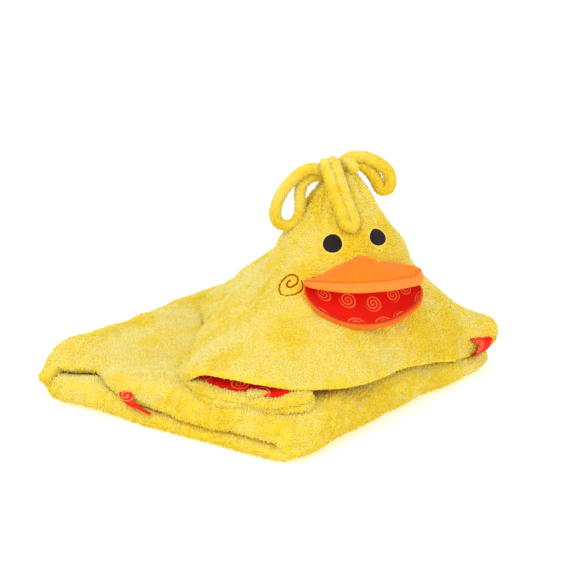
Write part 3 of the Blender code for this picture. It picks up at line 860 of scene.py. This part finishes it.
def lower_lines():
    """The lower beak's lines across: the bowl inside, its rounded rim and the underside."""
    across, full = beak_columns()
    c = full[:, None]
    forward = ahead(across)
    inner = mouth_point(across, -0.0015 * full, -0.002)
    drop = LOWER_DROP * (full**1.23 * (1.0 - 0.20 * across))[:, None]
    rim = mouth_point(across) + forward * LOWER_REACH * c**0.48 - UP * drop
    reach = np.linalg.norm((rim - inner)[:, :2], axis=1)[:, None]
    bowl = bezier(inner, inner + forward * 0.34 * reach - UP * 0.0060 * c,
                  rim - forward * 0.30 * reach + UP * 0.0005 * c, rim - forward * 0.0016 + UP * 0.0012, 20)
    radius = 0.0024 * c**0.35
    edge = np.array([rim + forward * radius * math.cos(turn) + UP * radius * (math.sin(turn) - 0.3)
                     for turn in np.radians(np.linspace(110.0, -80.0, 10))])
    foot = mouth_point(across, -LOWER_FOOT * full**0.8, -0.003)
    under = bezier(edge[-1], edge[-1] - forward * 0.30 * reach - UP * 0.0030 * c,
                   foot + forward * 0.35 * reach, foot, 12)
    # the lining also covers the back of the mouth, where the beak's halves meet the hood
    back = np.array([mouth_point(across, rise * full, 0.0046) for rise in (0.0125, 0.0090, 0.0055, 0.0020)])
    return bowl, edge, under, np.concatenate([back, bowl[4:-1] + UP * 0.0010])


def ring_body(name, rows, uv, materials, second_rows=()):
    """A closed body from rings, one for each column of the rows; second_rows have the second material."""
    count, columns = rows.shape[:2]
    index = np.arange(count * columns).reshape(count, columns)
    wrapped = np.concatenate([index, index[:1]])
    faces, kinds = [], []
    for i in range(count):
        for k in range(columns - 1):
            faces.append([wrapped[i, k], wrapped[i + 1, k], wrapped[i + 1, k + 1], wrapped[i, k + 1]])
            kinds.append(1 if i in second_rows else 0)
    faces.append(list(index[::-1, 0]))
    faces.append(list(index[:, -1]))
    piece = new_mesh(name, rows.reshape(-1, 3), faces, uv.reshape(-1, 2), *materials)
    piece.data.polygons.foreach_set("material_index", np.array(kinds + [0, 0], np.int32))
    face_out(piece)
    return piece


def face_out(piece):
    """Turns the mesh's faces outwards."""
    cloth = bmesh.new()
    cloth.from_mesh(piece.data)
    bmesh.ops.recalc_face_normals(cloth, faces=cloth.faces)
    cloth.to_mesh(piece.data)
    cloth.free()


def build_beak(fleece, sheen_band_fleece, rim_fleece, printed, thread, rim_thread):
    dome, band, under, back, groove = upper_lines()
    rows = np.concatenate([dome, band, under[1:], back[None]])
    # the front band's rows take the paler fleece: a painted sheen
    upper = ring_body("upper_beak_cloth", rows, grid_uv(rows), (fleece, sheen_band_fleece),
                      range(len(dome) - 1, len(dome) + len(band)))
    rows = under[1:-1] - UP * 0.0009
    upper_lining = thick_sheet("upper_beak_lining_cloth", rows, grid_uv(rows), 0.0008, printed)
    stitch = tube("upper_beak_stitching", groove[4:-4] + UP * 0.0002, 0.00065, thread, sides=6)
    bowl, edge, under, rows_inside = lower_lines()
    rows = np.concatenate([bowl, edge[1:], under[1:]])
    lower = ring_body("lower_beak_cloth", rows, grid_uv(rows), (fleece, rim_fleece),
                      range(len(bowl) - 5, len(bowl) + len(edge)))
    lower_lining = thick_sheet("lower_beak_lining_cloth", rows_inside, grid_uv(rows_inside) + (0.006, 0.0),
                               0.0010, printed)
    low_stitch = tube("lower_beak_stitching", bowl[-2][3:-3] + UP * 0.0017, 0.0005, rim_thread, sides=6)
    root = mouth_point(np.array([0.0]))[0]
    pieces = (upper, upper_lining, stitch, lower, lower_lining, low_stitch)
    kinds = 2 * (("fleece", ("_skin", "_padding")), ("print", ("_lining",)), ("thread", ("_topstitch",)))
    bodies = 3 * ("upper_beak",) + 3 * ("lower_beak",)
    for piece, (slot, endings), body in zip(pieces, kinds, bodies):
        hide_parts(*(body + ending for ending in endings))
        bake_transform(piece)
    return pieces


# The eye's section: share of its radius and height above the hood's cloth
EYE_SECTION = [(0.01, 0.0042), (0.2, 0.0042), (0.4, 0.0042), (0.6, 0.0041), (0.75, 0.0040), (0.87, 0.0038),
               (0.95, 0.0034), (1.0, 0.0028), (1.0, 0.0012), (0.97, -0.001)]
EYE_RIM = 0.0006


def build_eye(side, satin, ring_terry):
    angle, height = EYES[side]
    turns = np.linspace(0.0, 2.0 * math.pi, 48, endpoint=False)
    circle = np.stack([np.cos(turns), np.sin(turns)])
    rows = np.array([hood_patch(angle, height, *(EYE_RADIUS * share * circle), lift)
                     for share, lift in EYE_SECTION])
    disc = np.array([EYE_RADIUS * share * circle.T for share, _ in EYE_SECTION])
    eye = ring_body(side + "_eye_satin", rows.transpose(1, 0, 2), disc.transpose(1, 0, 2), (satin,))
    ring_line = hood_patch(angle, height, *((EYE_RADIUS + EYE_RIM) * circle), 0.0028)
    ring = tube(side + "_eye_rim", ring_line, EYE_RIM, ring_terry, sides=8, closed=True)
    place(eye, "satin", "hood", side + "_eye")
    place(ring, "terry", "hood")
    return eye, ring


def build_cheek_swirl(side, thread):
    """Short stitches along a spiral of nearly two turns; returns the line they follow."""
    angle, height = CHEEK_SWIRLS[side]
    mirror = 1.0 if side == "left" else -1.0
    t = np.linspace(0.0, 1.0, 26 * 6 + 1)
    turn = np.radians(90.0 + 646.0 * t)
    reach = (0.0031 + 0.0054 * ease((t - 0.33) / 0.22) + 0.0020 * ease((t - 0.60) / 0.20)
             - 0.0020 * ease((t - 0.88) / 0.12))
    # the cloth falls away to the side here, so the swirl is drawn sheared to look round from the front
    sideways, upwards = reach * np.cos(turn), reach * np.sin(turn)
    across = mirror * (1.35 * sideways - 0.65 * upwards)
    up = 0.39 * sideways + 0.93 * upwards
    line = hood_patch(angle, height, across, up, 0.0046 + 0.0005 * np.sin(t * 26 * 2 * math.pi))
    swirl = tube(side + "_cheek_swirl_thread", line, 0.00085, thread, sides=6)
    place(swirl, "thread", "hood", side + "_cheek_swirl")
    return line


# ---------------- the tuft

# Centre lines of the tuft's tubes, from their roots on the crown
LEFT_LOOP = [(0.066, -0.008, 0.238), (0.054, -0.010, 0.241), (0.045, -0.011, 0.243), (0.035, -0.012, 0.240),
             (0.0235, -0.013, 0.2315), (0.0132, -0.014, 0.219), (0.007, -0.014, 0.206),
             (0.0050, -0.014, 0.195), (0.0085, -0.013, 0.1855), (0.017, -0.012, 0.1805),
             (0.0265, -0.011, 0.182), (0.0325, -0.011, 0.192), (0.0330, -0.011, 0.205),
             (0.033, -0.010, 0.217), (0.037, -0.009, 0.2275), (0.047, -0.007, 0.2325),
             (0.062, -0.004, 0.234)]
RIGHT_LOOP = [(0.078, -0.006, 0.241), (0.083, -0.005, 0.2485), (0.090, -0.004, 0.2515),
              (0.098, -0.003, 0.2518), (0.106, -0.003, 0.2505), (0.119, -0.003, 0.2445),
              (0.1292, -0.003, 0.236), (0.1335, -0.003, 0.225), (0.1310, -0.003, 0.2155),
              (0.1245, -0.002, 0.2135), (0.1185, -0.001, 0.2235), (0.1115, 0.000, 0.2345),
              (0.100, 0.001, 0.2415), (0.088, 0.000, 0.238)]
FRONT_STRAND = [(0.0640, -0.004, 0.241), (0.0640, -0.012, 0.2485), (0.0650, -0.022, 0.2455),
                (0.0675, -0.0310, 0.2345), (0.0725, -0.0425, 0.2165), (0.0765, -0.0510, 0.2035),
                (0.0795, -0.0560, 0.1945)]
KNOT_LINE = [(0.0800, -0.006, 0.240), (0.0850, -0.013, 0.2480), (0.0885, -0.0205, 0.2465),
             (0.0900, -0.024, 0.2405)]
LOOP_RADIUS = 0.0056
KNOT_RADIUS = 0.0046


def build_tuft(terry):
    # the front strand goes down and comes back up beside itself
    strand = np.array(FRONT_STRAND)
    away = np.array([0.0045, 0.0009, 0.0010])
    tip = strand[-1] + np.array([0.0010, -0.0022, -0.0050])
    both = np.concatenate([strand - away, [tip], (strand + away)[::-1]])
    made = []
    for body, line, count, radius in (("left_tuft", LEFT_LOOP, 110, LOOP_RADIUS),
                                      ("right_tuft", RIGHT_LOOP, 90, 1.08 * LOOP_RADIUS),
                                      ("front_tuft", both, 130, LOOP_RADIUS)):
        made.append(tube(body + "_cloth", smooth_line(line, count), radius, terry))
        place(made[-1], "terry", body, body + "_loop")
    made.append(tube("tuft_knot_cloth", smooth_line(KNOT_LINE, 30), KNOT_RADIUS, terry))
    place(made[-1], "terry", "hood")
    return made


# ---------------- the pile

def triangles_of(piece):
    """The points of the piece, their normals and the corners of its triangles, as arrays."""
    mesh = piece.data
    mesh.calc_loop_triangles()
    points = read(mesh.vertices, "co", 3).astype(float)
    normals = read(mesh.vertices, "normal", 3).astype(float)
    return points, normals, read(mesh.loop_triangles, "vertices", 3, np.int32)


def blocking_tree(pieces):
    """Everything that can cover a surface, for finding what is open."""
    points, faces, start = [], [], 0
    for piece in pieces:
        found, _, corners = triangles_of(piece)
        points.append(found)
        faces.append(corners + start)
        start += len(found)
    return BVHTree.FromPolygons(np.concatenate(points).tolist(), np.concatenate(faces).tolist())


def sampled(piece, spacing, seed):
    """Random places spread evenly over a piece, and the ways its surface faces there."""
    points, normals, corners = triangles_of(piece)
    a, b, c = (points[corners[:, k]] for k in range(3))
    areas = 0.5 * np.linalg.norm(np.cross(b - a, c - a), axis=1)
    rng = np.random.default_rng(seed)
    count = int(areas.sum() / spacing**2)
    heights = (np.arange(count) + rng.uniform(0.0, 1.0, count)) / count * areas.sum()
    trio = corners[np.minimum(np.searchsorted(np.cumsum(areas), heights), len(areas) - 1)]
    u = rng.uniform(0.0, 1.0, (count, 1))
    v = rng.uniform(0.0, 1.0, (count, 1))
    over = (u + v) > 1.0
    u, v = np.where(over, 1.0 - u, u), np.where(over, 1.0 - v, v)
    places, ways = (values[trio[:, 0]] * (1.0 - u - v) + values[trio[:, 1]] * u + values[trio[:, 2]] * v
                    for values in (points, normals))
    ways /= np.maximum(np.linalg.norm(ways, axis=1), 1e-9)[:, None]
    return places, ways, rng


def fast_mesh(name, points, triangles, kinds, materials):
    """A smooth-shaded mesh of many triangles, each with its kind of material."""
    mesh = bpy.data.meshes.new(name)
    mesh.vertices.add(len(points))
    mesh.vertices.foreach_set("co", points.astype(np.float32).reshape(-1))
    mesh.loops.add(triangles.size)
    mesh.loops.foreach_set("vertex_index", triangles.astype(np.int32).reshape(-1))
    mesh.polygons.add(len(triangles))
    mesh.polygons.foreach_set("loop_start", np.arange(0, triangles.size, 3, dtype=np.int32))
    mesh.polygons.foreach_set("use_smooth", np.ones(len(triangles), bool))
    for material in materials:
        mesh.materials.append(material)
    mesh.polygons.foreach_set("material_index", kinds.astype(np.int32))
    mesh.update(calc_edges=True)
    piece = bpy.data.objects.new(name, mesh)
    bpy.context.scene.collection.objects.link(piece)
    return piece


# A tuft is a three-sided prism with a pointed tip: two rings of corners and the tip
TUFT_CORNERS = 3
TUFT_POINTS = 7
TUFT_TRIANGLES = np.array([(0, 1, 4), (0, 4, 3), (1, 2, 5), (1, 5, 4), (2, 0, 3), (2, 3, 5), (3, 4, 6),
                           (4, 5, 6), (5, 3, 6)])
# The tip's triangles are one shade paler than the stem's: painted shade, darker down among the tufts
TUFT_TIP = np.array([0, 0, 0, 0, 0, 0, 1, 1, 1])
# Most triangles in one piece; least height of a tuft's root; how deep roots and eyes' edges sit; the free
# room that a tuft needs in front of it
MOST_TRIANGLES = 190000
FLOOR_GAP = 0.0012
SUNK = 0.0004
EYE_MARGIN = 0.0004
STITCH_MARGIN = 0.0026
CLEARANCE = 0.0042
# Spacing, length and radius of the tufts
STACK_PILE = (0.00175, 0.0024, 0.00085)
NECK_PILE = (0.00165, 0.0026, 0.00085)
HOOD_PILE = (0.00175, 0.0024, 0.00085)
LOOP_PILE = (0.00135, 0.0018, 0.00068)


def add_pile(piece, body, materials, tree, tufts, seed, keep=None):
    """Short tufts all over the open surface of a piece, leaning in soft drifts."""
    spacing, length, width = tufts
    places, ways, rng = sampled(piece, spacing, seed)
    kept = (places[:, 2] > FLOOR_GAP) & (ways[:, 2] > -0.80)
    if keep is not None:
        kept &= keep(places, ways)
    places, ways = places[kept], ways[kept]
    open_ones = [tree.ray_cast(Vector(spot + way * 0.0010), Vector(way), CLEARANCE)[0] is None
                 for spot, way in zip(places, ways)]
    places, ways = places[open_ones], ways[open_ones]
    count = len(places)
    drift = np.stack([rolling(places, seed + k, 0.016) for k in (1, 2, 3)], axis=-1)
    lean = 0.16 * drift + 0.26 * rng.normal(size=(count, 3)) - 0.10 * UP
    lean -= ways * (lean * ways).sum(axis=1)[:, None]
    axes = ways + lean
    axes /= np.linalg.norm(axes, axis=1)[:, None]
    tall = length * rng.uniform(0.70, 1.25, count)[:, None]
    wide = width * rng.uniform(0.80, 1.20, count)[:, None]
    side = np.cross(ways, np.where(np.abs(ways[:, 2:3]) < 0.9, [[0.0, 0.0, 1.0]], [[1.0, 0.0, 0.0]]))
    side /= np.linalg.norm(side, axis=1)[:, None]
    other = np.cross(ways, side)
    spin = rng.uniform(0.0, 2.0 * math.pi, count)
    corners = []
    for share, middle in ((1.0, places - ways * SUNK), (0.86, places + axes * tall * 0.62)):
        for k in range(TUFT_CORNERS):
            turn = (spin + 2.0 * math.pi * k / TUFT_CORNERS)[:, None]
            corners.append(middle + wide * share * (np.cos(turn) * side + np.sin(turn) * other))
    corners.append(places + axes * tall)
    points = np.stack(corners, axis=1)
    triangles = TUFT_TRIANGLES[None] + (np.arange(count) * TUFT_POINTS)[:, None, None]
    # painted light: paler where the surface faces up and catches more light; broad and small patches of
    # random tone
    tone_and_painted_light = (0.9 * rolling(places, seed + 5, 0.070) + 0.5 * rolling(places, seed + 6, 0.014)
             + (ways[:, 2] - 0.45))
    tone_and_painted_light = np.clip(np.round(1.0 + tone_and_painted_light + 0.2 * rng.normal(size=count)), 0, 2).astype(int)
    kinds = tone_and_painted_light[:, None] + TUFT_TIP[None, :]
    parts = max(1, math.ceil(count * len(TUFT_TIP) / MOST_TRIANGLES))
    made = []
    for part in range(parts):
        first, last = count * part // parts, count * (part + 1) // parts
        own = (triangles[first:last] - first * TUFT_POINTS).reshape(-1, 3)
        pile = fast_mesh(f"{piece.name}_pile_{part + 1}", points[first:last].reshape(-1, 3), own,
                         kinds[first:last].reshape(-1), materials)
        place(pile, "terry", body)
        made.append(pile)
    return made


def off_stitches(lines):
    """A test of where the hood has pile: not on the face's stitches, in the mouth or under the rim."""
    stitches = np.concatenate(lines)[::3]
    eyes = [hood_at(np.array([angle]), np.array([height]), 0.004)[0] for angle, height in EYES.values()]

    def keep(places, ways):
        gaps = np.linalg.norm(places[:, None, :] - stitches[None], axis=2).min(axis=1)
        for centre in eyes:
            gaps = np.minimum(gaps, np.linalg.norm(places - centre, axis=1) - EYE_RADIUS + EYE_MARGIN)
        outward = places - np.array([*HOOD_AXIS, 0.0])
        outward[:, 2] = 0.0
        facing = (ways * outward).sum(axis=1) / np.linalg.norm(outward, axis=1)
        return (gaps > STITCH_MARGIN) & (facing > -0.05) & (ways[:, 2] > -0.30) & ~in_mouth(places)

    return keep


# ---------------- light, floor and camera

FLOOR_HALF = 6.0
WORLD_LIGHT = 0.80
# Name, place, what it points at, watts and width of each light
LIGHTS = (("key", (-1.3, -1.6, 2.2), (0, 0, .08), 25.0, 1.6),
          ("fill", (1.2, -2.4, 0.9), (0, 0, .08), 11.0, 1.8),
          ("top", (0.2, 0.9, 2.4), (0, 0, .05), 10.0, 1.8))
# The camera's place and aim, half its view in degrees and its sensor in millimetres
CAMERA_PLACE = (-0.36347, -2.43413, 0.90411)
CAMERA_AIM = (0.02326, -0.00236, 0.10406)
HALF_VIEW = 7.0
SENSOR_WIDTH = 36.0


def put(name, data, location, aim):
    """An object of that data at a place, turned towards another."""
    thing = bpy.data.objects.new(name, data)
    thing.location = location
    direction = Vector(aim) - Vector(location)
    thing.rotation_euler = direction.to_track_quat("-Z", "Y").to_euler()
    bpy.context.scene.collection.objects.link(thing)
    return thing


def build_stage():
    a = FLOOR_HALF
    floor = new_mesh("floor", [(-a, -a, 0), (a, -a, 0), (a, a, 0), (-a, a, 0)], [(0, 1, 2, 3)],
                     [(0, 0), (1, 0), (1, 1), (0, 1)], floor_material("floor"))
    world = bpy.data.worlds.new("studio")
    world.use_nodes = True
    world.node_tree.nodes["Background"].inputs["Color"].default_value = (1.0, 1.0, 1.0, 1.0)
    world.node_tree.nodes["Background"].inputs["Strength"].default_value = WORLD_LIGHT
    bpy.context.scene.world = world
    for name, location, aim, power, width in LIGHTS:
        data = bpy.data.lights.new(name, "AREA")
        data.energy = power
        data.size = width
        put(name, data, location, aim)


def build_camera():
    """A long lens from above the front corner's left."""
    data = bpy.data.cameras.new("camera")
    data.sensor_width = SENSOR_WIDTH
    data.lens = SENSOR_WIDTH / 2.0 / math.tan(math.radians(HALF_VIEW))
    bpy.context.scene.camera = put("camera", data, CAMERA_PLACE, CAMERA_AIM)
    bpy.context.scene.view_settings.view_transform = "Standard"


def main():
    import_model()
    terry = terry_material("terry", (0.95, 0.66, 0.014), (0.96, 0.75, 0.040))
    # the pile's four yellows, deep to light: random tone, with painted shade on the stems and painted light
    # on the tips and up-facing places
    pile = [new_material("pile_" + name, colour, 0.95, 0.40, (1.0, 0.94, 0.60), 0.50)[0]
            for name, colour in (("deep", (0.95, 0.70, 0.018)), ("middle", (0.96, 0.77, 0.055)),
                                 ("pale", (0.97, 0.84, 0.20)), ("light", (0.98, 0.88, 0.34)))]
    pale = terry_material("pale_terry", (0.96, 0.80, 0.22), (0.97, 0.85, 0.32))
    printed = print_material("printed_cotton")
    fleece = fleece_material("fleece", (0.93, 0.185, 0.003), (0.95, 0.235, 0.007))
    # paler orange for the beak's front band: a painted sheen
    sheen_band_fleece = fleece_material("sheen_band_fleece", (0.93, 0.235, 0.022), (0.94, 0.285, 0.045))
    rim_fleece = fleece_material("rim_fleece", (0.92, 0.135, 0.008), (0.93, 0.185, 0.018))
    satin = satin_material("satin_stitch")
    thread = thread_material("red_thread", (0.40, 0.030, 0.010))
    orange_thread = thread_material("orange_thread", (0.78, 0.14, 0.010))
    rim_thread = thread_material("rim_thread", (0.72, 0.045, 0.008))
    stack = build_stack(terry)
    front, back, lining = build_hood(terry, printed)
    neck, neck_facing = build_neck(terry, printed)
    side = build_side_facing(printed)
    corner = build_corner_facing(printed)
    beak = build_beak(fleece, sheen_band_fleece, rim_fleece, printed, orange_thread, rim_thread)
    eyes = [piece for eye_side in EYES for piece in build_eye(eye_side, satin, pale)]
    lines = [build_cheek_swirl(cheek, thread) for cheek in CHEEK_SWIRLS]
    left_loop, right_loop, strand, knot = build_tuft(terry)
    bpy.context.view_layer.update()
    tree = blocking_tree([stack, front, back, lining, neck, neck_facing, corner, *beak, *eyes])
    on_hood = off_stitches(lines)
    for piece, body, tufts, seed, keep in (
            (stack, "towel", STACK_PILE, 101, None), (neck, "towel", NECK_PILE, 111, None),
            (front, "hood", HOOD_PILE, 121, on_hood), (back, "hood", HOOD_PILE, 131, on_hood),
            (left_loop, "left_tuft", LOOP_PILE, 151, None),
            (right_loop, "right_tuft", LOOP_PILE, 161, None),
            (strand, "front_tuft", LOOP_PILE, 171, None), (knot, "hood", LOOP_PILE, 181, None)):
        add_pile(piece, body, pile, tree, tufts, seed, keep)
    build_stage()
    build_camera()


main()
